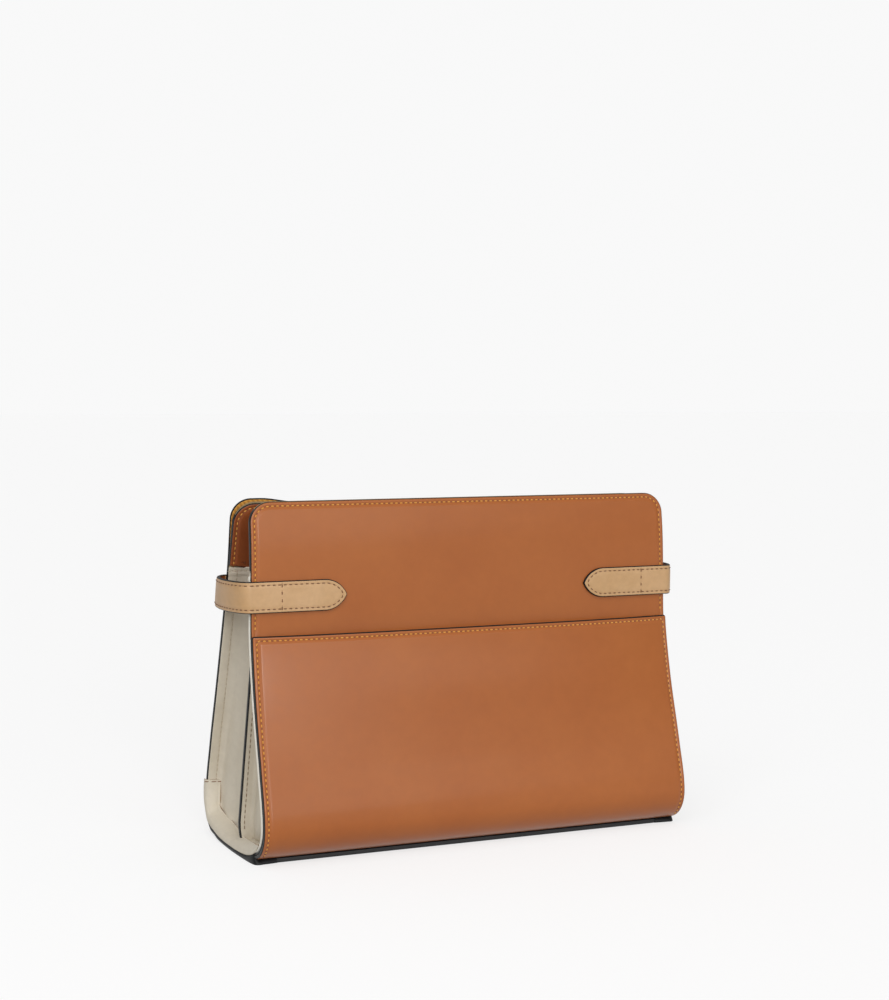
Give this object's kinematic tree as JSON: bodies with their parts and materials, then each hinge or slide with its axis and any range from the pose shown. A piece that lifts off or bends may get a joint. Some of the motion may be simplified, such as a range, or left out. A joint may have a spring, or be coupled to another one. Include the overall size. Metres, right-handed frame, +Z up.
{
  "type": "leather shoulder bag",
  "caption": "Structured tan leather shoulder bag: curved walls that flex over pleated cream gussets, a centre divider, slip pockets and beige straps round the sides.",
  "frame": {"origin": "under the middle of the base, on the surface that the bag stands on", "axes": "+X along the width to the right seen from the front, +Y from the front wall to the back wall, +Z up"},
  "size_m": [0.324, 0.1274, 0.229],
  "materials": {
    "tan_leather": "smooth semi-gloss calf leather, black painted edges",
    "facing_leather": "smooth satin leather",
    "beige_leather": "smooth satin leather, stitched",
    "strap_lining_leather": "smooth satin leather",
    "cream_leather": "soft matte leather",
    "black_leather": "smooth satin leather",
    "lining_cloth": "fine matte twill",
    "board": "pressed fibre board",
    "magnet_steel": "plated magnet"
  },
  "bodies": {
    "base": {"base_panel": "black_leather", "base_board": "board", "base_lining": "lining_cloth", "divider": "cream_leather", "divider_binding": "facing_leather", "left_gusset_front": "cream_leather", "left_gusset_back": "cream_leather", "right_gusset_front": "cream_leather", "right_gusset_back": "cream_leather", "left_foot_band": "cream_leather", "right_foot_band": "cream_leather", "left_strap_loop": "beige_leather", "right_strap_loop": "beige_leather", "left_loop_lining": "strap_lining_leather", "right_loop_lining": "strap_lining_leather"},
    "front_wall": {"front_panel": "tan_leather", "front_board": "board", "front_facing": "facing_leather", "front_lining": "lining_cloth", "front_magnet": "magnet_steel", "front_pocket": "tan_leather", "front_pocket_lining": "lining_cloth", "left_strap_front": "beige_leather", "right_strap_front": "beige_leather"},
    "back_wall": {"back_panel": "tan_leather", "back_pocket_lining": "lining_cloth", "back_inner_panel": "facing_leather", "back_board": "board", "back_facing": "facing_leather", "back_lining": "lining_cloth", "back_magnet": "magnet_steel", "left_strap_back": "beige_leather", "right_strap_back": "beige_leather"}
  },
  "joints": [
    {"name": "front_wall_flex", "type": "hinge", "parent": "base", "child": "front_wall", "pos_m": [0, -0.04175, 0.0252], "axis": [1, 0, 0], "range_deg": [-3.2, 3], "stiffness_Nm_per_rad": 6, "deforming": ["left_gusset_front", "right_gusset_front", "left_strap_loop", "right_strap_loop", "left_loop_lining", "right_loop_lining"]},
    {"name": "back_wall_flex", "type": "hinge", "parent": "base", "child": "back_wall", "pos_m": [0, 0.04175, 0.0252], "axis": [-1, 0, 0], "range_deg": [-3.2, 3], "stiffness_Nm_per_rad": 6, "deforming": ["left_gusset_back", "right_gusset_back"]}
  ]
}
